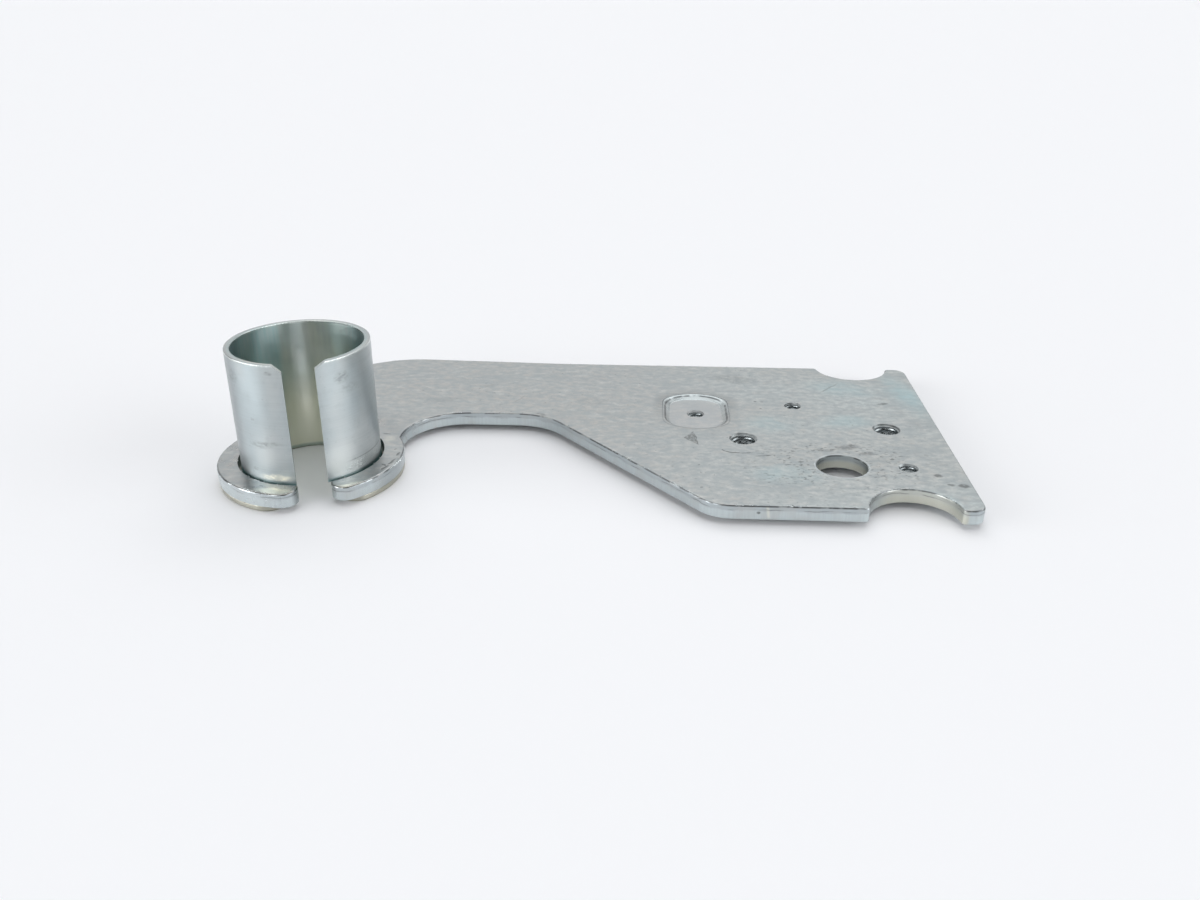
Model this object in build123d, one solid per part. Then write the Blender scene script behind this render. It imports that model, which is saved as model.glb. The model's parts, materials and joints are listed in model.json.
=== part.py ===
from build123d import *
import os
from math import cos, radians, sin, sqrt, tan

# Refrigerator door hinge: a pressed steel plate with a slit pivot sleeve through its open ring.
# Millimetres. X runs along the plate, Y across it and Z up, away from the sleeve's flange.
# The origin is where the pivot axis meets the plate's upper face.

# Plate stock and the edges that blanking leaves
plate_thickness = 3.0
upper_edge_roll = 0.4
lower_edge_roll = 0.15

# Pivot sleeve, a drawn tube with a flange at its foot
sleeve_diameter = 28.0
sleeve_wall = 1.2
sleeve_height = 24.3
rim_break = 0.15
flange_setback = 0.1
flange_edge_roll = 0.4
flange_seat_break = 0.15
flange_corner_radius = 4.0
neck_fillet = 0.5
mouth_fillet = 0.3

# Slit through the sleeve, wider through the foot and flange. Each corner where it meets the rim is
# cut back by a chamfer, given as its reach across the rim and its reach down the slit.
slit_width = 6.0
foot_slit_width = 8.6
foot_slit_sink = 0.4
slit_direction = -72.8
left_rim_chamfer = (2.1, 1.2)
right_rim_chamfer = (1.7, 1.5)

# Ring at the arm's end, open where the sleeve is slit
ring_clearance = 0.7
ring_radius = 18.7
ring_slit_width = 6.3
ring_slit_direction = -71.5
ring_corner_radius = 2.8

# Mounting plate
back_edge_y = 55.3
front_edge_y = -18.3
end_edge_x = 132.5
end_corner_radius = 2.6

# Arm between the ring and the mounting plate. The throat's side is set in from the ring's outside,
# and runs straight for a little way between the ring's neck and the throat's bend.
flank_angle = 76.0
arm_back_lift = 1.4
arm_back_start_x = 12.5
arm_back_end_x = 47.0
shoulder_radius = 22.4
throat_side_inset = 2.35
throat_back_y = 22.75
throat_corner_x = 46.0
brow_x = 81.5
throat_corner_radius = 13.3
brow_radius = 8.0
ring_neck_radius = 0.8
ring_neck_run = 0.87

# Half-round notches in the back and front edges
notch_radius = 8.65
notch_x = 119.4
back_notch_outset = 1.2
front_notch_outset = 0.35
notch_lip_radius = 0.8

# Plain fixing hole
fixing_hole_radius = 5.15
fixing_hole_at = (108.4, -0.5)
fixing_hole_break = 0.15

# Tapped holes: where each one is, its drilled radius and the radius of its countersunk mouth
large_tap_radius = 2.5
large_mouth_radius = 3.0
large_taps_at = ((89.5, 11.9), (121.0, 18.4))
small_tap_radius = 1.65
small_mouth_radius = 2.0
small_taps_at = ((102.2, 30.5), (121.6, -0.7))

# Pad pressed down into the plate and standing as far out of it underneath, with a small tapped hole
pad_at = (79.9, 26.5)
pad_radius = 9.6
pad_half_width = 7.15
pad_corner_radius = 6.0
pad_depth = 0.75
pad_wall_run = 1.1
pad_metal_spread = 0.8
pad_rim_fillet = 0.9
pad_floor_fillet = 0.4
pad_edge_fillet = 0.45

# Sizes that follow from those above
sleeve_radius = sleeve_diameter / 2
bore_radius = sleeve_radius - sleeve_wall
flange_thickness = sleeve_wall
plate_bottom = -plate_thickness
foot = plate_bottom - flange_thickness
pad_foot = plate_bottom - pad_depth
flange_radius = ring_radius - flange_setback
ring_bore_radius = sleeve_radius + ring_clearance
throat_side_x = ring_radius - throat_side_inset
ring_neck_y = sqrt(ring_radius**2 - throat_side_x**2)
throat_side_radius = throat_back_y - ring_neck_y - ring_neck_run
beyond = 2 * ring_radius


def along(angle, distance, across=0.0):
    """Point at a distance along a direction in degrees, and across it to the right of the way it points."""
    x = distance * cos(radians(angle)) + across * sin(radians(angle))
    y = distance * sin(radians(angle)) - across * cos(radians(angle))
    return (x, y)


def rounded(sketch, corner, radius):
    """Round the sketch's corner that lies nearest to a point."""
    nearest = sketch.vertices().sort_by_distance(Vector(*corner))[0]
    return fillet(nearest, radius)


def slot(width, direction, length):
    """Strip that runs out from the pivot axis in one direction."""
    return Rot(0, 0, direction) * Pos(length / 2, 0) * Rectangle(length, width)


def arm_and_mounting_plate():
    """Outline of the arm and the mounting plate, from the flank that leaves the ring to the throat."""
    flank_foot = along(flank_angle, 0.0, -ring_radius)
    arm_slope = -arm_back_lift / (arm_back_end_x - arm_back_start_x)
    flank_slope = tan(radians(flank_angle))
    arm_line_at_zero = back_edge_y - arm_slope * arm_back_end_x
    flank_line_at_zero = flank_foot[1] - flank_slope * flank_foot[0]
    shoulder_x = (arm_line_at_zero - flank_line_at_zero) / (flank_slope - arm_slope)
    shoulder = (shoulder_x, arm_line_at_zero + arm_slope * shoulder_x)
    corners = [
        ((0.0, 0.0), 0.0),
        (flank_foot, 0.0),
        (shoulder, shoulder_radius),
        ((arm_back_end_x, back_edge_y), shoulder_radius),
        ((end_edge_x, back_edge_y), end_corner_radius),
        ((end_edge_x, front_edge_y), end_corner_radius),
        ((brow_x, front_edge_y), brow_radius),
        ((throat_corner_x, throat_back_y), throat_corner_radius),
        ((throat_side_x, throat_back_y), throat_side_radius),
        ((throat_side_x, 0.0), 0.0),
    ]
    points = [point for point, radius in corners]
    radii = [radius for point, radius in corners]
    return make_face(FilletPolyline(*points, radius=radii, close=True))


def plate_outline():
    """Whole blank as it is cut: ring, arm and mounting plate, with the notches and the open slit."""
    outline = arm_and_mounting_plate() + Circle(ring_radius)
    outline = rounded(outline, (throat_side_x, ring_neck_y), ring_neck_radius)
    for edge_y, outset in ((back_edge_y, back_notch_outset), (front_edge_y, -front_notch_outset)):
        outline -= Pos(notch_x, edge_y + outset) * Circle(notch_radius)
        half_mouth = sqrt(notch_radius**2 - outset**2)
        for lip_x in (notch_x - half_mouth, notch_x + half_mouth):
            outline = rounded(outline, (lip_x, edge_y), notch_lip_radius)
    outline -= slot(ring_slit_width, ring_slit_direction, beyond)
    for side in (-1, 1):
        half_slit = side * ring_slit_width / 2
        reach = sqrt(ring_radius**2 - half_slit**2)
        outline = rounded(outline, along(ring_slit_direction, reach, half_slit), ring_corner_radius)
    return outline


def pad_form(margin, run, depth):
    """Frustum of the pad's outline, a margin larger than the punch and narrowing over a depth."""
    sections = []
    for inset, level in ((0.0, 0.0), (run, -depth)):
        grow = margin - inset
        radius = pad_radius + grow
        outline = Circle(radius) & Rectangle(2 * (pad_half_width + grow), 2 * radius)
        outline = fillet(outline.vertices(), pad_corner_radius + grow)
        sections.append(Pos(*pad_at, level) * outline)
    return loft(sections, ruled=True)


def hole_cutter(at, wall_radius, mouth_radius, top):
    """Cutter for a round hole through the sheet, its mouth broken at 45 degrees on both faces."""
    depth = mouth_radius - wall_radius
    profile = Polyline(
        (0.0, 0.0),
        (mouth_radius, 0.0),
        (wall_radius, -depth),
        (wall_radius, depth - plate_thickness),
        (mouth_radius, -plate_thickness),
        (0.0, -plate_thickness),
        close=True,
    )
    return Pos(*at, top) * revolve(Plane.XZ * make_face(profile), Axis.Z)


def edges_at(solid, level):
    """Edges of a solid that lie in one level plane."""
    return solid.edges().filter_by_position(Axis.Z, level, level)


def is_near_pad(edge):
    """Whether an edge belongs to the pad, seen from above."""
    across = edge.center().X - pad_at[0]
    up = edge.center().Y - pad_at[1]
    return sqrt(across**2 + up**2) < pad_radius + pad_metal_spread


def make_hinge_plate():
    """Blank, pressed pad, ring bore, fixing hole and tapped holes."""
    plate = extrude(plate_outline(), -plate_thickness)
    plate = fillet(edges_at(plate, 0.0), upper_edge_roll)
    plate = fillet(edges_at(plate, plate_bottom), lower_edge_roll)
    plate -= Pos(0, 0, plate_bottom / 2) * Cylinder(ring_bore_radius, 2 * plate_thickness)

    plate += Pos(0, 0, plate_bottom) * pad_form(pad_metal_spread, pad_wall_run / 2, pad_depth)
    plate -= pad_form(0.0, pad_wall_run, pad_depth)
    pad_levels = (
        (0.0, pad_rim_fillet),
        (-pad_depth, pad_floor_fillet),
        (pad_foot, pad_edge_fillet),
        (plate_bottom, pad_floor_fillet),
    )
    for level, radius in pad_levels:
        plate = fillet(edges_at(plate, level).filter_by(is_near_pad), radius)

    for at in large_taps_at:
        plate -= hole_cutter(at, large_tap_radius, large_mouth_radius, 0.0)
    for at in small_taps_at:
        plate -= hole_cutter(at, small_tap_radius, small_mouth_radius, 0.0)
    plate -= hole_cutter(pad_at, small_tap_radius, small_mouth_radius, -pad_depth)
    plate -= hole_cutter(fixing_hole_at, fixing_hole_radius, fixing_hole_radius + fixing_hole_break, 0.0)
    return plate


def flange_plan():
    """Plan of the flange with its open slit, the two corners at the slit's mouth rounded."""
    plan = Circle(flange_radius) - slot(foot_slit_width, slit_direction, beyond)
    for side in (-1, 1):
        half_slit = side * foot_slit_width / 2
        reach = sqrt(flange_radius**2 - half_slit**2)
        plan = rounded(plan, along(slit_direction, reach, half_slit), flange_corner_radius)
    return plan


def rim_chamfers():
    """Cutter for the two corners where the slit meets the rim."""
    half = slit_width / 2
    across_left, down_left = left_rim_chamfer
    across_right, down_right = right_rim_chamfer
    opening = Polyline(
        (half + across_left, 0.0),
        (half, -down_left),
        (-half, -down_right),
        (-half - across_right, 0.0),
        close=True,
    )
    seen_from_the_axis = Plane((0, 0, sleeve_height), x_dir=(0, 1, 0), z_dir=(1, 0, 0))
    cutter = extrude(seen_from_the_axis * make_face(opening), beyond)
    return Rot(0, 0, slit_direction) * cutter


def make_pivot_sleeve():
    """Tube and flange in one section, then slit along their length."""
    corners = [
        ((bore_radius, foot), mouth_fillet),
        ((beyond, foot), 0.0),
        ((beyond, plate_bottom), 0.0),
        ((sleeve_radius, plate_bottom), neck_fillet),
        ((sleeve_radius, sleeve_height), rim_break),
        ((bore_radius, sleeve_height), rim_break),
    ]
    points = [point for point, radius in corners]
    radii = [radius for point, radius in corners]
    section = make_face(FilletPolyline(*points, radius=radii, close=True))

    flange = Pos(0, 0, foot) * extrude(flange_plan(), flange_thickness)
    flange = fillet(edges_at(flange, foot), flange_edge_roll)
    flange = fillet(edges_at(flange, plate_bottom), flange_seat_break)
    tube = Circle(sleeve_radius + neck_fillet)
    wide_part = tube - slot(foot_slit_width, slit_direction, beyond)
    narrow_part = tube - slot(slit_width, slit_direction, beyond)
    wide_top = -foot_slit_sink
    envelope = flange + Pos(0, 0, foot) * extrude(wide_part, wide_top - foot)
    envelope += Pos(0, 0, wide_top) * extrude(narrow_part, sleeve_height - wide_top)
    return revolve(Plane.XZ * section, Axis.Z) & envelope - rim_chamfers()


os.makedirs("parts", exist_ok=True)
export_step(make_hinge_plate(), "parts/hinge_plate.step")
export_step(make_pivot_sleeve(), "parts/pivot_sleeve.step")
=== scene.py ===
import json
from math import ceil, cos, pi, radians, sin, sqrt
import random

import bmesh
import bpy
from mathutils import Matrix, Vector


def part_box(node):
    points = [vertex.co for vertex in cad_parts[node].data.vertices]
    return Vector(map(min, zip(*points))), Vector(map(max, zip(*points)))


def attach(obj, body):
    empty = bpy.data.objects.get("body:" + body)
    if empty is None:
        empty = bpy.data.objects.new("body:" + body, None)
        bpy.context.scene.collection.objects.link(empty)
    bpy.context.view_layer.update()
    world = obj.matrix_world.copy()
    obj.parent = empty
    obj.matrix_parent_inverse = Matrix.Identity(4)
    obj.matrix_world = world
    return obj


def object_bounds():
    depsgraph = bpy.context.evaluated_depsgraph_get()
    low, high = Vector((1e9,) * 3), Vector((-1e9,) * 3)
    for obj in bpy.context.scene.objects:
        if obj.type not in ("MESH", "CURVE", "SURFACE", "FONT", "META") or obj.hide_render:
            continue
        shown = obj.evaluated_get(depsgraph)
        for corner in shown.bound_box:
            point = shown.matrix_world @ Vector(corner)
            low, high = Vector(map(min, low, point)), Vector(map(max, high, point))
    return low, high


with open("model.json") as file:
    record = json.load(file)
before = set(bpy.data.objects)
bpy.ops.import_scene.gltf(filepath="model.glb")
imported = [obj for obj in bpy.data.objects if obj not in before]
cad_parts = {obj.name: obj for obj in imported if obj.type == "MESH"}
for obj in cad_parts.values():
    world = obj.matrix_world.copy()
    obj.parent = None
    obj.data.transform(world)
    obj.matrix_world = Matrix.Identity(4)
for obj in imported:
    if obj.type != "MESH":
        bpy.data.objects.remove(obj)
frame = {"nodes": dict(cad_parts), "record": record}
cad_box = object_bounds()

MM = 0.001
scene = bpy.context.scene
scene.view_settings.view_transform = "Standard"

# Camera
# It stands in front of the hinge and a little above it, where the photograph was taken from. Its place
# is given in millimetres from the point where the pivot axis meets the plate, and its angles in degrees.
CAMERA_AT = (68.4, -188.74, 91.28)
CAMERA_DOWN = 25.26
CAMERA_LEFT = 2.7
CAMERA_ROLL = -0.13
CAMERA_LENS = 30.86
SENSOR_WIDTH = 36.0
NEAREST_SEEN = 5.0

down = radians(CAMERA_DOWN)
left = radians(CAMERA_LEFT)
roll = radians(CAMERA_ROLL)
ahead = Vector((-sin(left) * cos(down), cos(left) * cos(down), -sin(down)))
level_right = Vector((cos(left), sin(left), 0.0))
level_down = ahead.cross(level_right)
right = cos(roll) * level_right + sin(roll) * level_down
up = sin(roll) * level_right - cos(roll) * level_down
camera_data = bpy.data.cameras.new("camera")
camera_data.sensor_width = SENSOR_WIDTH
camera_data.lens = CAMERA_LENS
camera_data.clip_start = NEAREST_SEEN * MM
camera = bpy.data.objects.new("camera", camera_data)
scene.collection.objects.link(camera)
camera_turn = Matrix((right, up, -ahead)).transposed().to_4x4()
camera.matrix_world = Matrix.Translation(Vector(CAMERA_AT) * MM) @ camera_turn
scene.camera = camera


# Floor and its light
# A white table that runs back out of sight, with pale walls low down all round it. Wide soft lights stand at
# its left and right, smaller ones beside them, and a broad one fills the back up to a pale ceiling.


class Value:
    """One output in a material's nodes. Arithmetic on it adds Math nodes."""

    def __init__(self, finish, socket):
        self.finish = finish
        self.socket = socket

    def math(self, operation, *values):
        return self.finish.node("ShaderNodeMath", {"operation": operation}, values)

    def __add__(self, other):
        return self.math("ADD", self, other)

    def __radd__(self, other):
        return self.math("ADD", other, self)

    def __sub__(self, other):
        return self.math("SUBTRACT", self, other)

    def __rsub__(self, other):
        return self.math("SUBTRACT", other, self)

    def __mul__(self, other):
        return self.math("MULTIPLY", self, other)

    def __rmul__(self, other):
        return self.math("MULTIPLY", other, self)

    def __truediv__(self, other):
        return self.math("DIVIDE", self, other)

    def __pow__(self, other):
        return self.math("POWER", self, other)

    def __abs__(self):
        return self.math("ABSOLUTE", self)

    def least(self, other):
        return self.math("MINIMUM", self, other)

    def most(self, other):
        return self.math("MAXIMUM", self, other)

    def rise(self, start, end):
        """From 0 at start to 1 at end, smoothly."""
        settings = {"interpolation_type": "SMOOTHSTEP"}
        values = {"Value": self, "From Min": start, "From Max": end}
        return self.finish.node("ShaderNodeMapRange", settings, values)

    def lifted(self, least):
        """From least, where this is 0, to 1, where it is 1."""
        return least + (1.0 - least) * self

    def parts(self):
        """X, Y and Z of a vector."""
        split = self.finish.node("ShaderNodeSeparateXYZ", values=[self]).socket.node
        return [Value(self.finish, output) for output in split.outputs]


class Finish:
    """The nodes of one material or of the world."""

    def __init__(self, owner):
        owner.use_nodes = True
        self.tree = owner.node_tree

    def node(self, kind, settings=None, values=(), output=0):
        made = self.tree.nodes.new(kind)
        for name, setting in (settings or {}).items():
            setattr(made, name, setting)
        for key, value in values.items() if isinstance(values, dict) else enumerate(values):
            self.feed(made.inputs[key], value)
        return Value(self, made.outputs[output])

    def feed(self, socket, value):
        if isinstance(value, Value):
            self.tree.links.new(value.socket, socket)
        elif isinstance(value, tuple) and len(value) == 3 and socket.type == "RGBA":
            socket.default_value = (*value, 1.0)
        else:
            socket.default_value = value


FLOOR_SIZE = 12000.0
FLOOR_COLOUR = (0.915, 0.922, 0.94)
FLOOR_ROUGHNESS = 0.75
FLOOR_GLOSS = 0.2
ROOM_COLOUR = (0.985, 0.99, 1.0)

hinge_low = cad_box[0]
floor_mesh = bpy.data.meshes.new("floor")
half = FLOOR_SIZE * MM / 2
floor_corners = [(-half, -half, 0), (half, -half, 0), (half, half, 0), (-half, half, 0)]
floor_mesh.from_pydata(floor_corners, [], [(0, 1, 2, 3)])
floor = bpy.data.objects.new("floor", floor_mesh)
floor.location.z = hinge_low[2]
scene.collection.objects.link(floor)
floor_material = bpy.data.materials.new("white_table")
table = Finish(floor_material)
table_shader = table.tree.nodes["Principled BSDF"]
table.feed(table_shader.inputs["Base Color"], FLOOR_COLOUR)
table.feed(table_shader.inputs["Roughness"], FLOOR_ROUGHNESS)
table.feed(table_shader.inputs["Specular IOR Level"], FLOOR_GLOSS)
floor_mesh.materials.append(floor_material)

scene.world = bpy.data.worlds.new("room")
room = Finish(scene.world)
room_light = room.tree.nodes["Background"]
room.feed(room_light.inputs["Color"], ROOM_COLOUR)
across, back, above = room.node("ShaderNodeTexCoord").parts()
level_reach = (across * across + back * back) ** 0.5

# Each soft light's azimuth and half width in degrees, its level, and the heights where it starts, is full,
# starts to fade and is gone. A height is the sine of the angle above the table. In turn they stand at the
# left, the right, the right front, the left front, the right back, low at the back and high at the back.
SOFT_LIGHTS = (
    (-161.0, 34.0, 5.9, -1.0, -0.9, 0.1, 0.7),
    (-21.0, 32.0, 3.7, -1.0, -0.9, 0.3, 0.8),
    (-52.0, 24.0, 0.8, -1.0, -0.9, 0.1, 0.5),
    (-118.0, 22.0, 3.0, 0.15, 0.35, 0.5, 0.65),
    (16.0, 22.0, 1.5, 0.15, 0.35, 0.5, 0.65),
    (90.0, 70.0, 0.75, -1.0, -0.9, 0.4, 0.8),
    (90.0, 85.0, 1.8, 0.45, 0.72, 0.78, 0.97),
)
CEILING_LEVEL = 1.2
CEILING_HEIGHTS = (0.77, 0.97)
WALL_LEVEL = 0.88
WALL_TOPS = (0.26, 0.13)


def towards(azimuth, spread):
    """1 within a quarter of spread degrees from azimuth, falling to 0 at spread."""
    facing = (across * cos(radians(azimuth)) + back * sin(radians(azimuth))) / level_reach
    return facing.rise(cos(radians(spread)), cos(radians(spread / 4)))


light = CEILING_LEVEL * above.rise(*CEILING_HEIGHTS)
for azimuth, spread, level, starts, full, fades, gone in SOFT_LIGHTS:
    one_light = level * towards(azimuth, spread) * above.rise(starts, full) * above.rise(gone, fades)
    light = one_light + light
far_wall = WALL_LEVEL * above.rise(*WALL_TOPS)
room.feed(room_light.inputs["Strength"], light.most(far_wall))


# Hinge plate
# One blank sheared from 3 mm steel strip: a mounting plate, an arm and an open ring, with a pad pressed
# down beside the throat. The holes are punched or tapped, and the whole piece is then zinc plated.


class Plating(Finish):
    """A steel finish that is laid out in millimetres on the hinge."""

    # The numbers of the sockets that are used, where a name isn't enough to find them.
    PLACE_ON_OBJECT = 3
    FACING = 1
    LENGTH = 1
    NOISE_COLOUR = 1
    SHARE = 0
    FIRST_COLOUR = 6
    SECOND_COLOUR = 7
    MIXED_COLOUR = 2
    # Half the height of a mark that reaches through the whole hinge.
    THROUGH = 90.0

    def __init__(self, name):
        self.material = bpy.data.materials.new(name)
        super().__init__(self.material)
        self.shader = self.tree.nodes["Principled BSDF"]
        on_object = self.node("ShaderNodeTexCoord", output=self.PLACE_ON_OBJECT)
        self.place = self.vector("SCALE", on_object, {"Scale": 1 / MM})
        self.x, self.y, self.z = self.place.parts()
        self.facing = self.node("ShaderNodeTexCoord", output=self.FACING).parts()
        self.in_plan = self.vector("MULTIPLY", self.place, (1.0, 1.0, 0.0))
        self.from_axis = (self.x * self.x + self.y * self.y) ** 0.5

    def vector(self, operation, *values, output=0):
        feeds = {}
        for value in values:
            feeds.update(value if isinstance(value, dict) else {len(feeds): value})
        return self.node("ShaderNodeVectorMath", {"operation": operation}, feeds, output)

    def cloud(self, size, seed, detail=3.0, stretch=(1.0, 1.0, 1.0), low=0.35, high=0.65):
        """Soft patches about size mm across, from 0 to 1."""
        scale = tuple(1 / (size * along) for along in stretch)
        at = self.vector("MULTIPLY_ADD", self.place, scale, (seed, 2.0 * seed, 3.0 * seed))
        noise = self.node("ShaderNodeTexNoise", values={"Vector": at, "Scale": 1.0, "Detail": detail})
        return noise.rise(low, high)

    def spot(self, at, size, turn=0.0, rim=0.6):
        """1 in an oval mark with a ragged outline, falling to 0 over its rim, a share of its size."""
        rotation = (0.0, 0.0, radians(turn))
        values = {"Vector": self.ragged, "Location": at, "Rotation": rotation, "Scale": size}
        inside = self.node("ShaderNodeMapping", {"vector_type": "TEXTURE"}, values)
        return self.vector("LENGTH", inside, output=self.LENGTH).rise(1.0, 1.0 - rim)

    def flat_spot(self, across, back, length, width, turn=0.0, rim=0.6):
        """A spot on the flat faces, given by its middle, half sizes and turn."""
        return self.spot((across, back, 0.0), (length, width, self.THROUGH), turn, rim)

    def flat_spots(self, table, rim=0.6):
        """The sum of flat spots, each a row of middle, half sizes, turn and strength."""
        total = 0.0
        for *place, strength in table:
            total = strength * self.flat_spot(*place, rim=rim) + total
        return total

    def patch(self, corners, soft):
        """1 inside a flat shape whose corners run anticlockwise, rising from 0 at its ragged sides."""
        across, back, _ = self.ragged.parts()
        inside = None
        for (from_x, from_y), (to_x, to_y) in zip(corners, corners[1:] + corners[:1]):
            length = sqrt((to_x - from_x) ** 2 + (to_y - from_y) ** 2)
            along_x = (to_x - from_x) / length
            along_y = (to_y - from_y) / length
            reach = (back - from_y) * along_x - (across - from_x) * along_y
            inside = reach if inside is None else inside.least(reach)
        return inside.rise(0.0, soft)

    def away_from(self, middle, where=None):
        """Distance in mm from a point, of the place on the object or of another vector."""
        return self.vector("DISTANCE", where or self.place, middle, output=self.LENGTH)

    def ring_line(self, middle, radius, width):
        """1 on a thin ring round a hole."""
        away = self.away_from((*middle[:2], 0.0), self.in_plan)
        return abs(away - radius).rise(width, 0.3 * width)

    def set_ragged(self, size, shift):
        """Sets ragged, the place on the object moved about by up to shift mm."""
        at = self.vector("SCALE", self.place, {"Scale": 1 / size})
        values = {"Vector": at, "Scale": 1.0, "Detail": 3.0}
        wander = self.node("ShaderNodeTexNoise", values=values, output=self.NOISE_COLOUR)
        wander = self.vector("SUBTRACT", wander, (0.5, 0.5, 0.5))
        self.ragged = self.vector("MULTIPLY_ADD", wander, (2 * shift, 2 * shift, 2 * shift), self.place)

    def tint(self, share, first, second):
        """The first colour, turning into the second as share rises to 1."""
        values = {self.SHARE: share, self.FIRST_COLOUR: first, self.SECOND_COLOUR: second}
        return self.node("ShaderNodeMix", {"data_type": "RGBA"}, values, self.MIXED_COLOUR)

    def finish(self, colour, roughness, height, depth):
        """Feeds the shader. Height is in parts of depth, which is in mm."""
        raised = {"Strength": 1.0, "Distance": depth * MM, "Height": height}
        self.feed(self.shader.inputs["Normal"], self.node("ShaderNodeBump", values=raised))
        self.feed(self.shader.inputs["Base Color"], colour)
        self.feed(self.shader.inputs["Roughness"], roughness)
        self.feed(self.shader.inputs["Metallic"], 1.0)


def show(node, material):
    materials = frame["nodes"][node].data.materials
    for index in range(len(materials)):
        materials[index] = material


mounts = {mount["name"]: mount for mount in frame["record"]["mounts"]}


def middle_of(mount):
    """Where a mount is, in mm."""
    return tuple(place / MM for place in mounts[mount]["pos_m"])


def radius_of(mount):
    return mounts[mount]["dims"]["r_mm"]


PLATE_THICKNESS = 3.0
ARM_GREY = (0.445, 0.455, 0.448)
END_GREY = (0.50, 0.545, 0.542)
BLUE_SHEEN = (0.36, 0.52, 0.55)
WARM_PATCH = (0.475, 0.46, 0.435)
COOL_PATCH_AND_SHADE = (0.35, 0.385, 0.395)
LIGHT_PATCH = (0.54, 0.55, 0.535)
STAIN_AND_SHADE = (0.17, 0.18, 0.18)
SHEARED_AND_HIGHLIGHT = (0.57, 0.63, 0.64)
BURNISHED = (0.42, 0.46, 0.48)
CREAM_TABLE_REFLECTION = (0.61, 0.61, 0.53)
COOL_WALL_REFLECTION = (0.42, 0.50, 0.51)
CREAM_HIGHLIGHT = (0.86, 0.84, 0.72)
SHADED_FLANK_GREY = (0.34, 0.37, 0.38)
LIT_RING_GREY = (0.76, 0.82, 0.83)
PAD_GREY = (0.50, 0.51, 0.52)
DARK_LINE_AND_SHADE = (0.08, 0.085, 0.09)
# The grey turns paler between these two places along the plate.
PALER_FROM_TO = (55.0, 122.0)
LENGTHWISE = (1.8, 0.8, 1.0)
# The wide mottling of the plating: patch size, seed, stretch, the noise that it rises between, strength and
# colour.
WIDE_MOTTLES = (
    (26.0, 3.1, (1.6, 1.0, 1.0), (0.35, 0.65), 0.55, WARM_PATCH),
    (9.0, 7.7, LENGTHWISE, (0.5, 0.72), 0.8, COOL_PATCH_AND_SHADE),
    (3.2, 12.3, (1.0, 1.0, 1.0), (0.5, 0.75), 0.6, WARM_PATCH),
)

plate = Plating("plate_zinc")
plate.set_ragged(2.2, 0.55)
x, y, z = plate.x, plate.y, plate.z
level = plate.facing[2].rise(0.35, 0.85)
wall = 1.0 - abs(plate.facing[2]).rise(0.3, 0.75)

colour = plate.tint(x.rise(*PALER_FROM_TO), ARM_GREY, END_GREY)
for size, seed, stretch, (low, high), strength, patch_colour in WIDE_MOTTLES:
    mottle = plate.cloud(size, seed, stretch=stretch, low=low, high=high)
    colour = plate.tint(mottle * strength, colour, patch_colour)
light_mottle = plate.cloud(2.2, 91.0, stretch=LENGTHWISE, low=0.48, high=0.68)
pale_end = plate.flat_spot(112.0, -10.0, 13.0, 6.0, rim=0.9)
colour = plate.tint((light_mottle * 0.7 + pale_end * 0.5).least(1.0), colour, LIGHT_PATCH)
fine_mottle = plate.cloud(1.5, 62.0, stretch=(1.3, 0.9, 1.0), low=0.3, high=0.7)
colour = plate.tint(fine_mottle * 0.85, colour, COOL_PATCH_AND_SHADE)
finest_mottle = plate.cloud(0.6, 82.0, detail=2.0, low=0.4, high=0.7)
colour = plate.tint(finest_mottle * 0.35, colour, COOL_PATCH_AND_SHADE)

# Places where the plating shows a blue sheen: middle, half sizes, turn and strength.
SHEENS = (
    (129.0, 38.0, 5.5, 17.0, 8.0, 0.6),
    (113.0, 22.0, 9.0, 6.0, 10.0, 0.35),
    (123.0, -14.0, 6.0, 5.0, 0.0, 0.5),
    (115.0, 42.0, 12.0, 7.0, -15.0, 0.4),
    (96.0, 20.0, 9.0, 7.0, 20.0, 0.35),
    (97.0, -5.0, 10.0, 6.0, 0.0, 0.4),
)
sheen = plate.flat_spots(SHEENS, rim=0.9) * plate.cloud(6.0, 5.5, low=0.3, high=0.65).lifted(0.35)
colour = plate.tint(sheen.least(1.0), colour, BLUE_SHEEN)

# Painted cream highlights on the ring in front of the sleeve, where it reflects the lit tube: rows as for the
# sheens. A weaker one lies beside the throat.
RING_HIGHLIGHTS = (
    (-2.0, -17.3, 5.6, 1.6, -6.0, 1.0),
    (12.3, -13.6, 3.4, 1.4, 40.0, 0.6),
    (9.8, -15.0, 3.0, 1.1, 30.0, 0.7),
)
ring_highlight = plate.flat_spots(RING_HIGHLIGHTS, rim=0.7) + 0.3 * plate.flat_spot(14.2, 7.6, 1.6, 2.4, rim=0.8)
colour = plate.tint(ring_highlight * 0.75 * plate.facing[2].rise(0.2, 0.6), colour, CREAM_HIGHLIGHT)

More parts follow.
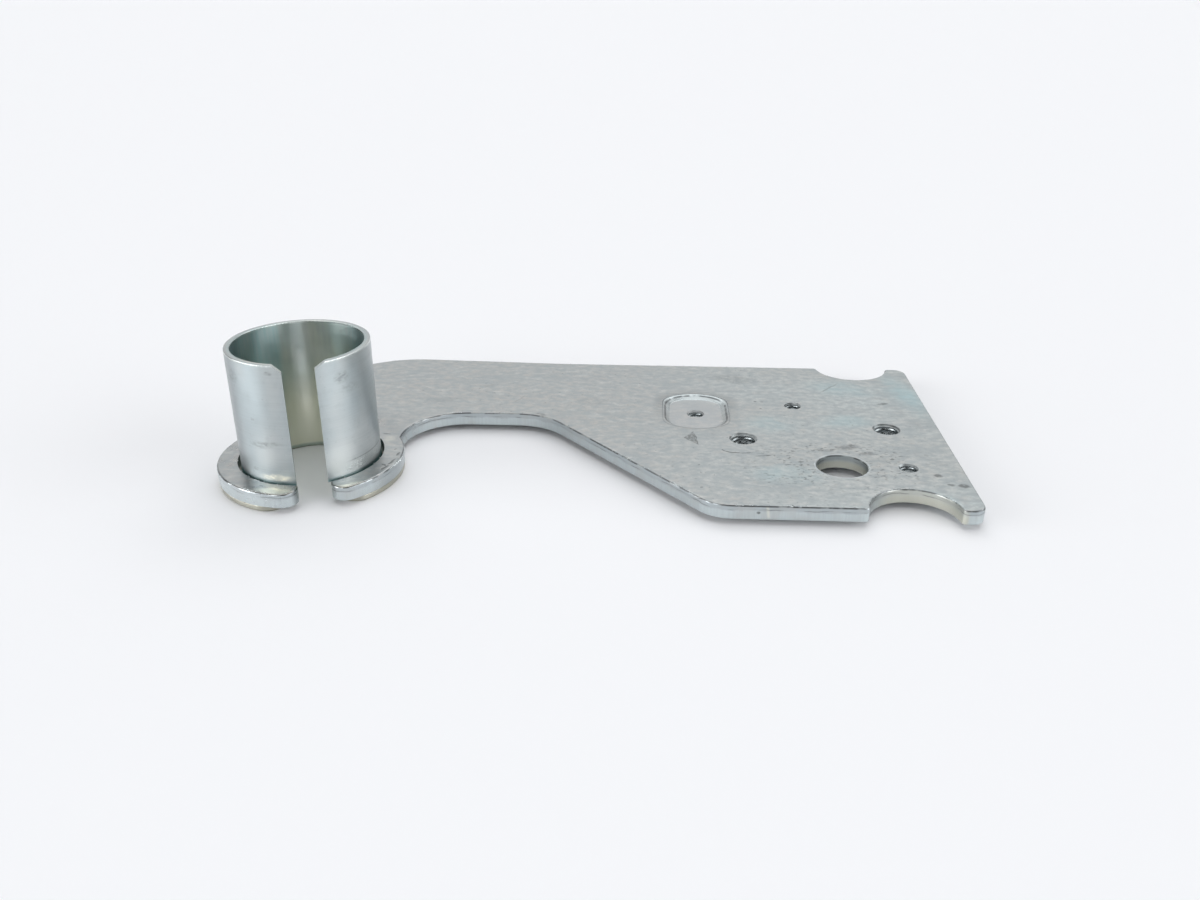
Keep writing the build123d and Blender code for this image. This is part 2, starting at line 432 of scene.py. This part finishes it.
# Small dark smudges and scratches on the upper face, from handling: rows as for the sheens. The first five
# follow the crack in the ring.
SMUDGES = (
    (16.6, -6.2, 1.5, 0.36, 62.0, 3.0),
    (17.3, -3.3, 1.9, 0.34, 72.0, 3.4),
    (16.1, -4.9, 0.9, 0.30, -40.0, 3.0),
    (17.9, 0.5, 1.0, 0.34, 75.0, 3.0),
    (16.6, 2.9, 0.5, 0.34, 60.0, 1.4),
    (123.1, 32.7, 1.8, 0.9, 12.0, 0.8),
    (123.9, 25.7, 1.9, 0.3, -8.0, 0.5),
    (126.6, -4.0, 1.2, 0.9, 0.0, 1.0),
    (128.3, -7.8, 1.0, 0.8, 0.0, 0.8),
    (130.6, -8.2, 1.5, 1.0, 0.0, 1.0),
    (111.0, 8.4, 3.8, 1.6, 22.0, 0.7),
    (114.5, 5.6, 2.2, 1.2, 10.0, 0.6),
    (106.0, 6.8, 2.6, 1.0, -10.0, 0.5),
    (93.2, 3.6, 2.6, 0.5, 14.0, 0.5),
    (112.2, 42.0, 5.4, 0.4, 51.0, 0.5),
    (89.5, 46.6, 7.5, 3.6, -12.0, 0.3),
    (93.9, 32.6, 0.5, 0.5, 0.0, 0.8),
    (95.2, 32.6, 0.5, 0.4, 0.0, 0.8),
    (94.7, 28.5, 0.4, 0.5, 0.0, 0.9),
    (75.1, -11.9, 1.4, 0.5, -35.0, 1.0),
    (13.2, 10.3, 1.3, 0.3, -8.0, 1.2),
    (45.2, 22.6, 1.7, 0.7, -25.0, 0.6),
    (31.0, 39.6, 1.9, 1.3, 20.0, 0.22),
    (39.4, 31.4, 3.2, 0.4, 63.0, 0.3),
    (21.0, 30.0, 6.5, 2.0, 8.0, 0.13),
    (56.5, 31.0, 5.0, 3.0, 0.0, 0.14),
    (116.5, 3.0, 5.0, 3.5, 0.0, 0.12),
)
smudged = plate.flat_spots(SMUDGES)
broken = plate.cloud(1.1, 14.0, detail=4.0, low=0.3, high=0.55)

# A curved scratch beside the large hole near the throat, part of a circle.
SCRATCH_MIDDLE = (88.4, 9.6, 0.0)
SCRATCH_RADIUS = 5.1
SCRATCH_WIDTH = 0.34
SCRATCH_CORE = 0.08
off_scratch = abs(plate.away_from(SCRATCH_MIDDLE, plate.ragged) - SCRATCH_RADIUS)
part_of_circle = plate.flat_spot(87.3, 4.9, 3.9, 2.4, rim=0.3)
scratch = (0.5 + 0.8 * broken) * off_scratch.rise(SCRATCH_WIDTH, SCRATCH_CORE) * part_of_circle

# A stippled triangular scuff beside the pad, darkest along its right side.
SCUFF_CORNERS = ((79.2, 15.2), (76.7, 11.6), (80.1, 7.9))
SCUFF_LEFT = 76.5
SCUFF_DARKENS_OVER = 3.0
scuff_inside = plate.patch(SCUFF_CORNERS, 0.3)
scuff_edge = scuff_inside * (1.0 - plate.patch(SCUFF_CORNERS, 0.6))
stipple = plate.cloud(0.45, 37.0, low=0.42, high=0.56)
dark_side = scuff_edge * (x - SCUFF_LEFT).rise(0.0, SCUFF_DARKENS_OVER) * stipple.lifted(0.2)
scuff = scuff_inside * (0.35 + 0.6 * stipple) + dark_side

# Fine specks all over, and pits that crowd round the fixing hole.
specks = plate.cloud(0.9, 21.0, detail=2.0, low=0.64, high=0.72)
specks = specks * plate.cloud(14.0, 2.6, low=0.42, high=0.62)
crowded = plate.flat_spot(108.0, 0.0, 28.0, 16.0)
pits = plate.cloud(0.7, 23.0, stretch=(1.5, 1.0, 1.0), low=0.54, high=0.64)
specks = specks + 1.3 * crowded * pits * plate.cloud(5.0, 8.6, low=0.38, high=0.56)
marked = (smudged * broken.lifted(0.35) + scratch + scuff + 0.6 * specks).least(1.0)
colour = plate.tint(marked * level * 0.8, colour, STAIN_AND_SHADE)

# The pressed pad is a disc with its left and right sides cut off straight. Its wall slopes, with a painted
# highlight at the back, between lines of painted shade at its rim and its foot, with painted shade round it.
PAD_HALF_WIDTH = 7.15
PAD_RADIUS = 9.6
PAD_CORNER = 2.2
PAD_WALL_RUN = 1.1
PAD_RIM = 0.3
PAD_FADE = 6.0
SHADE_HALO_REACH = 3.6
pad_x, pad_y, _ = middle_of("pad_tap")
past_arc = plate.away_from((pad_x, pad_y, 0.0), plate.in_plan) - PAD_RADIUS
past_side = abs(x - pad_x) - PAD_HALF_WIDTH
from_pad = x.math("SMOOTH_MAX", past_arc, past_side, PAD_CORNER)
behind_pad = (y - pad_y).rise(-PAD_FADE, PAD_FADE)
pad_shade_halo = from_pad.rise(SHADE_HALO_REACH, 0.4) * from_pad.rise(0.1, 0.4) * behind_pad.lifted(0.25)
pressed = from_pad.rise(2 * PAD_RIM, PAD_RIM) * from_pad.rise(-PAD_WALL_RUN - 0.5, -PAD_WALL_RUN - 0.1)
pad_face = from_pad.rise(-PAD_WALL_RUN - 0.1, -PAD_WALL_RUN - 0.5)
# Painted shade round the pad, strongest behind it.
colour = plate.tint(pad_shade_halo * 0.3, colour, STAIN_AND_SHADE)
colour = plate.tint(pad_face * 0.35, colour, PAD_GREY)
# Painted highlight on the back of the pad's wall.
colour = plate.tint(pressed * 0.7 * behind_pad, colour, SHEARED_AND_HIGHLIGHT)
# Painted shade along the pad's rim and its foot.
rim_shade_line = abs(from_pad - PAD_RIM).rise(0.22, 0.06) * (0.4 + 0.4 * behind_pad)
foot_shade_line = abs(from_pad + PAD_WALL_RUN + 0.1).rise(0.2, 0.05) * 0.35 * behind_pad
colour = plate.tint((rim_shade_line + foot_shade_line).least(1.0) * 0.8, colour, DARK_LINE_AND_SHADE)

# Each hole has a thin painted highlight round it, on the small chamfer left where its burr was broken off.
HOLES_WITH_RIM = (
    "fixing_hole",
    "large_tap_near_throat",
    "large_tap_near_end",
    "small_tap_near_back",
    "small_tap_near_front",
)
HOLE_RIM_OUT = 0.22
HOLE_RIM_WIDTH = 0.3
rim_highlights = 0.0
for hole in HOLES_WITH_RIM:
    rim_highlights = plate.ring_line(middle_of(hole), radius_of(hole) + HOLE_RIM_OUT, HOLE_RIM_WIDTH) + rim_highlights
rim_highlights = rim_highlights * level * plate.cloud(1.6, 44.0, low=0.35, high=0.55).lifted(0.4)
colour = plate.tint(rim_highlights * 0.7, colour, SHEARED_AND_HIGHLIGHT)

# The sheared sides: a darker burnished band under the upper edge, and a paler torn one below it.
BURNISH_DEPTH = 1.05
wavering_height = z + 0.5 * plate.cloud(2.4, 31.0, low=0.2, high=0.8)
burnish = wavering_height.rise(-BURNISH_DEPTH - 0.12, -BURNISH_DEPTH + 0.35)
shear_lines = plate.cloud(0.4, 17.0, detail=2.0, stretch=(1.0, 1.0, 30.0), low=0.3, high=0.7)
edge_colour = plate.tint(burnish * 0.75, SHEARED_AND_HIGHLIGHT, BURNISHED)
edge_colour = plate.tint(shear_lines * 0.25, edge_colour, BURNISHED)
edge_colour = plate.tint(plate.cloud(4.0, 41.0, low=0.4, high=0.7) * 0.3, edge_colour, WARM_PATCH)

# Painted shade darkens them on the slanted flank and on the ring's right side, and painted light makes them
# paler on the rest of the ring. Each pair of places is where a mask begins and where it is full, along the
# plate.
FLANK_BEGINS = (25.0, 35.0)
RING_SIDE_BEGINS = (26.0, 22.0)
RING_BEGINS = (23.0, 18.0)
RING_LEFT_BEGINS = (1.0, -7.0)
facing_left = 0.0 - plate.facing[0]
facing_front = 0.0 - plate.facing[1]
in_front = 0.0 - y
shaded_flank = facing_left.rise(0.2, 0.6) * facing_front.rise(0.3, 0.6) * x.rise(*FLANK_BEGINS)
shaded_ring_side = plate.facing[0].rise(0.78, 0.96) * in_front.rise(-3.0, 3.0) * x.rise(*RING_SIDE_BEGINS)
edge_colour = plate.tint((shaded_flank * 0.2 + shaded_ring_side * 0.6).least(1.0), edge_colour, SHADED_FLANK_GREY)
on_ring = x.rise(*RING_BEGINS) * in_front.rise(-2.0, 4.0) * (1.0 - shaded_ring_side)
ring_painted_light = on_ring * (0.1 + 0.45 * x.rise(*RING_LEFT_BEGINS))
edge_colour = plate.tint(ring_painted_light, edge_colour, LIT_RING_GREY)

# A painted highlight along a small ledge in the front edge, and painted shade in a dent there.
FRONT_EDGE = -18.6
SEAM_X = 91.7
SEAM_LEAN = 0.15
DENT_AT = (90.2, FRONT_EDGE, -1.45)
DENT_SIZE = (0.55, 1.0, 0.32)
at_front = y.rise(FRONT_EDGE + 0.6, FRONT_EDGE + 0.3)
seam_highlight = abs(x - SEAM_X + SEAM_LEAN * z).rise(0.5, 0.05) * at_front * z.rise(-2.9, -2.2)
dent_shade = plate.spot(DENT_AT, DENT_SIZE, rim=0.5)
edge_colour = plate.tint(seam_highlight * 0.4, edge_colour, CREAM_HIGHLIGHT)
edge_colour = plate.tint(dent_shade * 0.7, edge_colour, DARK_LINE_AND_SHADE)

# The walls of the front notch and of the fixing hole carry a painted cream reflection of the table, most of
# all low down, and the fixing hole's wall a faint cool painted reflection as well.
NOTCH_WALL_REACH = (10.0, 9.2)
HOLE_WALL_REACH = (6.0, 5.6)
NOTCH_REFLECTION_BEGINS = (111.0, 117.0)
inside_notch = plate.away_from(middle_of("front_notch")).rise(*NOTCH_WALL_REACH)
inside_hole = plate.away_from(middle_of("fixing_hole")).rise(*HOLE_WALL_REACH)
lit_by_table = z.rise(-0.8, -1.8)
edge_colour = plate.tint(inside_hole * 0.2, edge_colour, COOL_WALL_REFLECTION)
table_reflection = inside_notch * x.rise(*NOTCH_REFLECTION_BEGINS) * lit_by_table.lifted(0.6)
table_reflection = table_reflection.most(inside_hole * lit_by_table)
edge_colour = plate.tint(table_reflection * 0.85, edge_colour, CREAM_TABLE_REFLECTION)
colour = plate.tint(wall, colour, edge_colour)

# Broken dark lines run along the upper edge, painted shade under the torn burr there, and along the foot of
# the burnished band.
BURR_SHADE_DEPTH = 0.2
burr_shade_line = abs(z + BURR_SHADE_DEPTH).rise(0.2, 0.06) * plate.cloud(3.0, 51.0, low=0.38, high=0.55)
band_line = abs(z + BURNISH_DEPTH - 0.3 * plate.cloud(5.0, 61.0)).rise(0.13, 0.04)
band_line = band_line * wall * plate.cloud(4.5, 71.0, low=0.45, high=0.6)
colour = plate.tint((burr_shade_line * 0.75 + band_line * 0.5).least(1.0), colour, DARK_LINE_AND_SHADE)

# The ring and the arm near it are smoother than the rest. The grain's depth is in mm.
PLATE_ROUGHNESS = 0.40
SMOOTH_RADII = (30.0, 20.0)
PLATE_GRAIN = 0.012
near_ring = plate.from_axis.rise(*SMOOTH_RADII)
roughness = PLATE_ROUGHNESS - 0.14 * near_ring + 0.10 * plate.cloud(6.0, 19.0) + 0.12 * marked
roughness = roughness - 0.24 * pressed * behind_pad.lifted(0.3) - 0.06 * wall - 0.15 * rim_highlights - 0.1 * ring_highlight
grain = plate.cloud(0.7, 33.0, detail=4.0, low=0.0, high=1.0)
grain = grain + 0.7 * plate.cloud(2.6, 43.0, low=0.2, high=0.8)
grain = grain * (1.0 - 0.7 * pressed) + shear_lines * wall * 1.2
grain = grain - 1.6 * marked * level + 1.2 * fine_mottle * level
plate.finish(colour, roughness, grain, PLATE_GRAIN)
show("hinge_plate", plate.material)


# Pivot sleeve
# A thin drawn tube, slit along its whole length, with its foot turned out as a flange that lies under the
# ring. The door's bush turns on it and has rubbed fine lines round the outside. Zinc plated as the plate is.
TUBE_GREY = (0.42, 0.475, 0.49)
TUBE_PALE = (0.50, 0.525, 0.52)
TUBE_BRIGHT_AND_HIGHLIGHT = (0.72, 0.76, 0.74)
TUBE_INSIDE = (0.61, 0.64, 0.59)
INSIDE_TEAL_AND_SHADE = (0.34, 0.47, 0.48)
OLIVE_TABLE_REFLECTION = (0.85, 0.84, 0.69)
SHADED_FOOT_TEAL = (0.25, 0.50, 0.50)
SLIT_SHADE = (0.20, 0.27, 0.28)
FLANGE_TABLE_REFLECTION = (0.46, 0.455, 0.39)
TUBE_RADIUS = radius_of("pivot")
WALL_MIDDLE_RADIUS = (TUBE_RADIUS + radius_of("cable_way")) / 2
TUBE_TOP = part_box("pivot_sleeve")[1].z / MM
FLANGE_TOP = -PLATE_THICKNESS

sleeve = Plating("sleeve_zinc")
sleeve.set_ragged(1.8, 0.4)
x, y, z = sleeve.x, sleeve.y, sleeve.z
in_front = 0.0 - y
within_wall = sleeve.from_axis.rise(WALL_MIDDLE_RADIUS + 0.1, WALL_MIDDLE_RADIUS - 0.1)
inside = within_wall * z.rise(FLANGE_TOP - 1.3, FLANGE_TOP)
wear_lines = sleeve.cloud(0.22, 4.4, stretch=(60.0, 60.0, 1.0), low=0.32, high=0.68)
wide_lines = sleeve.cloud(1.1, 14.4, detail=2.0, stretch=(14.0, 14.0, 1.0), low=0.3, high=0.7)
colour = sleeve.tint(sleeve.cloud(11.0, 8.8, stretch=(1.0, 1.0, 1.6)) * 0.8, TUBE_GREY, TUBE_PALE)
colour = sleeve.tint(wear_lines * 0.16 + wide_lines * 0.14, colour, COOL_PATCH_AND_SHADE)
colour = sleeve.tint(sleeve.cloud(2.2, 28.0, low=0.55, high=0.75) * 0.3, colour, COOL_PATCH_AND_SHADE)
# Painted shade darkens a strip down the front of the tube's left side.
shaded_left_strip = x.rise(-8.8, -11.0) * in_front.rise(2.0, 5.0)
colour = sleeve.tint(shaded_left_strip * 0.7, colour, COOL_PATCH_AND_SHADE)

# Smudges and rubbed places on the outside: degrees round the tube, height, half sizes and strength.
RUBS = (
    (-112.0, 7.7, 3.2, 0.9, 0.55),
    (-101.0, 8.2, 3.0, 0.6, 0.4),
    (-96.2, 22.7, 0.9, 0.6, 0.7),
    (-116.4, 12.9, 0.6, 0.5, 0.7),
    (-39.5, 20.4, 2.2, 1.5, 0.7),
    (-33.0, 18.0, 3.0, 1.4, 0.3),
    (-120.8, 2.3, 1.2, 0.5, 0.5),
    (-134.0, 20.8, 2.2, 1.6, 0.4),
    (-60.0, 15.5, 2.6, 0.3, 0.25),
)
rubbed = 0.0
for degrees_round, height, length, tall, strength in RUBS:
    turn = radians(degrees_round)
    at = (TUBE_RADIUS * cos(turn), TUBE_RADIUS * sin(turn), height)
    rubbed = strength * sleeve.spot(at, (length, length, tall)) + rubbed
pitted = sleeve.cloud(0.45, 16.0, detail=4.0, stretch=(2.0, 2.0, 1.0), low=0.38, high=0.62)

# The end of the door's bush has rubbed a fine line round the right of the tube's foot, and crinkled the
# plating below it.
RUBBED_LINE_HEIGHT = 2.85
RUBBED_LINE_MIDDLE = (13.4, -4.0, 2.7)
RUBBED_LINE_REACH = (7.0, 7.0, 3.0)
rubbed_line = abs(z - RUBBED_LINE_HEIGHT).rise(0.17, 0.05)
rubbed_line = rubbed_line * sleeve.spot(RUBBED_LINE_MIDDLE, RUBBED_LINE_REACH, rim=0.4)
at_right = x.rise(9.2, 11.0) * in_front.rise(-1.0, 1.5)
below_line = z.rise(0.5, 1.0) * z.rise(2.75, 2.4)
crinkle = sleeve.cloud(0.2, 36.0, detail=2.0, low=0.42, high=0.62)
crinkled = below_line * at_right * crinkle * sleeve.cloud(2.0, 47.0, low=0.4, high=0.6).lifted(0.3)
specks = sleeve.cloud(0.7, 61.0, detail=2.0, low=0.68, high=0.76)
marked = (rubbed * pitted.lifted(0.3) + 0.55 * rubbed_line + 0.3 * specks).least(1.0) * (1.0 - inside)
colour = sleeve.tint(marked * 0.75, colour, STAIN_AND_SHADE)

# Painted highlights low on the outside: middle, half sizes and strength.
LOW_HIGHLIGHTS = (
    ((8.6, -11.0, 4.0), (5.5, 5.5, 4.5), 0.45),
    ((-4.3, -13.3, 5.2), (4.0, 4.0, 3.5), 0.3),
)
FOOT_HIGHLIGHT_AT = (-2.6, -13.75, 1.0)
FOOT_HIGHLIGHT_SIZE = (4.6, 4.6, 1.0)
low_highlight = 0.0
for at, size, strength in LOW_HIGHLIGHTS:
    low_highlight = strength * sleeve.spot(at, size, rim=0.9) + low_highlight
colour = sleeve.tint(low_highlight * (1.0 - marked), colour, TUBE_BRIGHT_AND_HIGHLIGHT)
# A painted cream highlight low on the front of the tube, a little to its left.
foot_highlight = sleeve.spot(FOOT_HIGHLIGHT_AT, FOOT_HIGHLIGHT_SIZE, rim=0.8)
colour = sleeve.tint(foot_highlight * pitted.lifted(0.5), colour, CREAM_HIGHLIGHT)
colour = sleeve.tint(crinkled * 0.6, colour, TUBE_BRIGHT_AND_HIGHLIGHT)

# The inside has painted shade at its left and right, a painted warm reflection of the table that turns it
# olive low down, and streaks near the top. Each pair is where a mask begins and where it is full.
DARK_LEFT_BEGINS = (-6.8, -8.4)
DARK_RIGHT_BEGINS = (5.5, 9.5)
OLIVE_HEIGHTS = (18.0, 3.0)
STREAK_HEIGHTS = (12.0, 23.0)
streaks = sleeve.cloud(0.7, 24.0, stretch=(1.0, 1.0, 16.0), low=0.35, high=0.68)
inner_colour = sleeve.tint(sleeve.cloud(8.0, 6.6, stretch=(1.0, 1.0, 2.0)) * 0.5, TUBE_INSIDE, INSIDE_TEAL_AND_SHADE)
shaded_inner_sides = x.rise(*DARK_LEFT_BEGINS) + x.rise(*DARK_RIGHT_BEGINS)
inner_colour = sleeve.tint(shaded_inner_sides, inner_colour, INSIDE_TEAL_AND_SHADE)
inner_colour = sleeve.tint(z.rise(*OLIVE_HEIGHTS) * 0.85, inner_colour, OLIVE_TABLE_REFLECTION)
inner_colour = sleeve.tint(streaks * z.rise(*STREAK_HEIGHTS) * 0.5, inner_colour, TUBE_PALE)
colour = sleeve.tint(inside, colour, inner_colour)

# Painted shade turns the foot dark teal where it goes down into the ring, and the flange carries a painted
# warm reflection of the table.
TEAL_HEIGHTS = (0.6, -0.8)
flange = z.rise(FLANGE_TOP + 0.3, FLANGE_TOP)
colour = sleeve.tint(z.rise(*TEAL_HEIGHTS) * (1.0 - inside), colour, SHADED_FOOT_TEAL)
colour = sleeve.tint(flange * (1.0 - inside), colour, FLANGE_TABLE_REFLECTION)

# Painted shade darkens the two sides of the slit. Painted light brightens the tube's top end, which faces up,
# and a broken painted highlight the edge just below it.
outward = (x * sleeve.facing[0] + y * sleeve.facing[1]) / sleeve.from_axis
shaded_slit_side = abs(outward).rise(0.6, 0.3) * (1.0 - abs(sleeve.facing[2]).rise(0.3, 0.5))
colour = sleeve.tint(shaded_slit_side * 0.75, colour, SLIT_SHADE)
lit_top_end = sleeve.facing[2].rise(0.5, 0.9) * z.rise(TUBE_TOP - 3.0, TUBE_TOP - 2.0)
top_edge_highlight = z.rise(TUBE_TOP - 0.5, TUBE_TOP - 0.15) * (1.0 - lit_top_end)
patchy = sleeve.cloud(1.3, 53.0, low=0.4, high=0.55).lifted(0.4)
colour = sleeve.tint((top_edge_highlight * patchy * 0.8 + lit_top_end * 0.35).least(1.0), colour, TUBE_BRIGHT_AND_HIGHLIGHT)

# The fine lines run round the tube and spread its highlights up and down. The grain's depth is in mm.
TUBE_ROUGHNESS = 0.30
TUBE_GRAIN = 0.008
SPREAD_OF_HIGHLIGHTS = 0.75
TURN_OF_SPREAD = 0.25
roughness = TUBE_ROUGHNESS + 0.06 * wear_lines + 0.07 * sleeve.cloud(5.0, 26.0) + 0.15 * marked
roughness = roughness - 0.12 * crinkled - 0.15 * lit_top_end - 0.02 * inside - 0.1 * top_edge_highlight
outer_grain = 0.7 * wear_lines + 0.4 * wide_lines - 2.0 * marked + 2.5 * crinkled
outer_grain = outer_grain + sleeve.cloud(0.6, 46.0, low=0.0, high=1.0)
grain = outer_grain * (1.0 - inside) + 0.8 * streaks * inside
sleeve.finish(colour, roughness, grain, TUBE_GRAIN)
sleeve.feed(sleeve.shader.inputs["Anisotropic"], SPREAD_OF_HIGHLIGHTS)
sleeve.feed(sleeve.shader.inputs["Anisotropic Rotation"], TURN_OF_SPREAD)
show("pivot_sleeve", sleeve.material)


# Threads
# The five small holes are tapped right through for machine screws. Each thread is the ridge left between
# the tap's turns, bright where the plating has caught on its crest.
THREAD_HEIGHT = 0.22
THREAD_SINK = 0.05
STEPS_IN_A_TURN = 40
# Half the ridge's height along the hole at its foot and at its crest, in pitches, and the share of its length
# over which it rises and sinks at its ends.
HALF_FOOT = 0.42
HALF_CREST = 0.07
RUN_OUT = 1 / 6
THREAD_END = PLATE_THICKNESS - 0.1
PAD_DEPTH = 0.75
# Each thread's piece, the hole that it is cut in, its pitch, how far its hole's mouth lies below the plate's
# face, and how far below the mouth it starts.
TAPPED_HOLES = (
    ("large_thread_near_throat", "large_tap_near_throat", 1.0, 0.0, 0.45),
    ("large_thread_near_end", "large_tap_near_end", 1.0, 0.0, 0.45),
    ("small_thread_near_back", "small_tap_near_back", 0.7, 0.0, 0.35),
    ("small_thread_near_front", "small_tap_near_front", 0.7, 0.0, 0.35),
    ("pad_thread", "pad_tap", 0.7, PAD_DEPTH, 0.35),
)
THREAD_GREY = (0.44, 0.48, 0.49)
THREAD_GRAIN = 0.01

thread = Plating("thread_zinc")
thread.set_ragged(0.6, 0.1)
thread_colour = thread.tint(thread.cloud(0.8, 3.0), THREAD_GREY, COOL_PATCH_AND_SHADE)
thread_roughness = 0.16 + 0.16 * thread.cloud(0.5, 9.0)
thread.finish(thread_colour, thread_roughness, thread.cloud(0.25, 5.0), THREAD_GRAIN)


def thread_ridge(name, hole, pitch, mouth, lead):
    across, back, _ = middle_of(hole)
    radius = radius_of(hole)
    start = mouth + lead
    turns = (mouth + THREAD_END - start) / pitch - 1.0
    steps = ceil(turns * STEPS_IN_A_TURN)
    corners = []
    faces = []
    for step in range(steps + 1):
        share = step / steps
        angle = 2 * pi * turns * share
        height = THREAD_HEIGHT * min(1.0, share / RUN_OUT, (1.0 - share) / RUN_OUT)
        deep = -start - pitch * (0.5 + turns * share)
        section = (
            (radius + THREAD_SINK, HALF_FOOT * pitch),
            (radius - height, HALF_CREST * pitch),
            (radius - height, -HALF_CREST * pitch),
            (radius + THREAD_SINK, -HALF_FOOT * pitch),
        )
        for reach, rise in section:
            at_x = across + reach * cos(angle)
            at_y = back + reach * sin(angle)
            corners.append((at_x * MM, at_y * MM, (deep + rise) * MM))
        if step:
            now = 4 * step
            faces += [(now - 4 + k, now - 4 + (k + 1) % 4, now + (k + 1) % 4, now + k) for k in range(4)]
    last = 4 * steps
    faces += [(0, 3, 2, 1), (last, last + 1, last + 2, last + 3)]
    mesh = bpy.data.meshes.new(name)
    mesh.from_pydata(corners, [], faces)
    mesh.materials.append(thread.material)
    ridge = bpy.data.objects.new(name, mesh)
    scene.collection.objects.link(ridge)
    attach(ridge, "root")


for tapped in TAPPED_HOLES:
    thread_ridge(*tapped)


# Edge burrs
# The press tears the sheet along the upper edge of every sheared side, and plating has grown on what it
# left: a broken row of bright beads, and a torn flake on the ring's edge beside the throat.
BEAD_PITCH = 0.22
BEAD_LENGTH = (0.12, 0.36)
BEAD_WIDTH = (0.06, 0.15)
BEAD_HEIGHT = (0.04, 0.10)
BEAD_REACH = 0.30
EDGE_ROLL = 0.4
CLUMP_CHANGE = 0.3
SHORTEST_STEP = 1e-6
THIN_BURR = 0.06
BURR_GREY = (0.62, 0.66, 0.66)
BURR_GRAIN = 0.006
# Where along the outline the burrs are thick, each with its middle, its reach and how thick they are.
THICK_BURRS = (
    (119.4, -10.5, 9.0, 1.0),
    (92.0, -18.3, 9.0, 0.75),
    (74.0, -9.0, 9.0, 0.8),
    (60.0, 8.0, 14.0, 0.35),
    (33.0, 22.7, 16.0, 0.3),
    (104.0, -18.3, 9.0, 0.35),
    (14.0, -12.5, 9.0, 0.5),
    (-8.0, -17.0, 10.0, 0.7),
)

burr = Plating("burr_zinc")
burr.set_ragged(0.6, 0.1)
burr_colour = burr.tint(burr.cloud(0.4, 3.0), BURR_GREY, COOL_PATCH_AND_SHADE)
burr.finish(burr_colour, 0.14 + 0.2 * burr.cloud(0.3, 9.0), burr.cloud(0.15, 5.0), BURR_GRAIN)


def on_flat_top(face):
    return face.normal.z > 0.9999 and abs(face.calc_center_median().z) < 0.01 * MM


def length_along_x(ring):
    return max(point.x for point in ring) - min(point.x for point in ring)


def outline_of_top(node):
    """The outer edge of the node's flat top, as a ring of points in mm."""
    solid = bmesh.new()
    solid.from_mesh(frame["nodes"][node].data)
    bmesh.ops.remove_doubles(solid, verts=solid.verts, dist=0.001 * MM)
    solid.normal_update()
    neighbours = {}
    for edge in solid.edges:
        if [on_flat_top(face) for face in edge.link_faces].count(True) == 1:
            for end, other in (edge.verts, reversed(edge.verts)):
                neighbours.setdefault(end.index, []).append(other.index)
    rings = []
    places = [vert.co / MM for vert in solid.verts]
    unused = set(neighbours)
    while unused:
        onward = [min(unused)]
        ring = []
        while onward:
            ring.append(onward[0])
            unused.discard(onward[0])
            onward = [index for index in neighbours[onward[0]] if index in unused]
        rings.append([places[index] for index in ring])
    solid.free()
    return max(rings, key=length_along_x)


def thickness_of_burr(place):
    thick = THIN_BURR
    for middle_x, middle_y, reach, amount in THICK_BURRS:
        away = sqrt((place.x - middle_x) ** 2 + (place.y - middle_y) ** 2)
        thick = max(thick, amount * max(0.0, 1.0 - (away / reach) ** 4))
    return thick


def add_bead(beads, middle, along_edge, size):
    made = bmesh.ops.create_icosphere(beads, subdivisions=1, radius=1.0)["verts"]
    beside = Vector((-along_edge.y, along_edge.x, 0.0))
    for vert in made:
        lumpy = vert.co * random.uniform(0.75, 1.1)
        local = along_edge * (lumpy.x * size[0]) + beside * (lumpy.y * size[1])
        local.z = lumpy.z * size[2]
        vert.co = (middle + local) * MM


random.seed(7)
top_ring = outline_of_top("hinge_plate")
beads = bmesh.new()
travelled = 0.0
clump = random.random()
for start, end in zip(top_ring, top_ring[1:] + top_ring[:1]):
    step = end - start
    travelled += step.length
    if step.length < SHORTEST_STEP:
        continue
    along_edge = step.normalized()
    outward = Vector((along_edge.y, -along_edge.x, 0.0))
    while travelled > BEAD_PITCH:
        travelled -= BEAD_PITCH * random.uniform(0.5, 1.5)
        place = end - along_edge * min(travelled, step.length)
        clump = min(1.0, max(0.0, clump + random.uniform(-CLUMP_CHANGE, CLUMP_CHANGE)))
        if random.random() > thickness_of_burr(place) * clump ** 2:
            continue
        out = random.uniform(0.0, BEAD_REACH)
        drop = EDGE_ROLL - sqrt(EDGE_ROLL ** 2 - out ** 2)
        size = [random.uniform(*span) for span in (BEAD_LENGTH, BEAD_WIDTH, BEAD_HEIGHT)]
        add_bead(beads, place + outward * out - Vector((0.0, 0.0, drop)), along_edge, size)

# The flake: a thin sliver torn up beside the throat, along the crack in the ring.
FLAKE_SPINE = ((17.6, -7.0), (18.1, -5.2), (18.7, -3.2), (19.0, -1.2), (18.9, 0.6))
FLAKE_PITCH = 0.45
FLAKE_LENGTH = 0.42
FLAKE_WIDTH = 0.42
FLAKE_HEIGHT = 0.2
BLUNT_START = 0.08
for index, (across, back) in enumerate(FLAKE_SPINE[:-1]):
    to_across, to_back = FLAKE_SPINE[index + 1]
    run = Vector((to_across - across, to_back - back, 0.0))
    slivers = ceil(run.length / FLAKE_PITCH)
    for sliver in range(slivers):
        share = (index + sliver / slivers) / (len(FLAKE_SPINE) - 1)
        thick = sin(pi * min(1.0, share + BLUNT_START)) * random.uniform(0.55, 1.0)
        middle = Vector((across, back, 0.0)) + run * ((sliver + 0.5) / slivers)
        add_bead(beads, middle, run.normalized(), (FLAKE_LENGTH, FLAKE_WIDTH * thick, FLAKE_HEIGHT * thick))
bead_mesh = bpy.data.meshes.new("edge_burrs")
beads.to_mesh(bead_mesh)
beads.free()
bead_mesh.materials.append(burr.material)
edge_burrs = bpy.data.objects.new("edge_burrs", bead_mesh)
scene.collection.objects.link(edge_burrs)
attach(edge_burrs, "root")
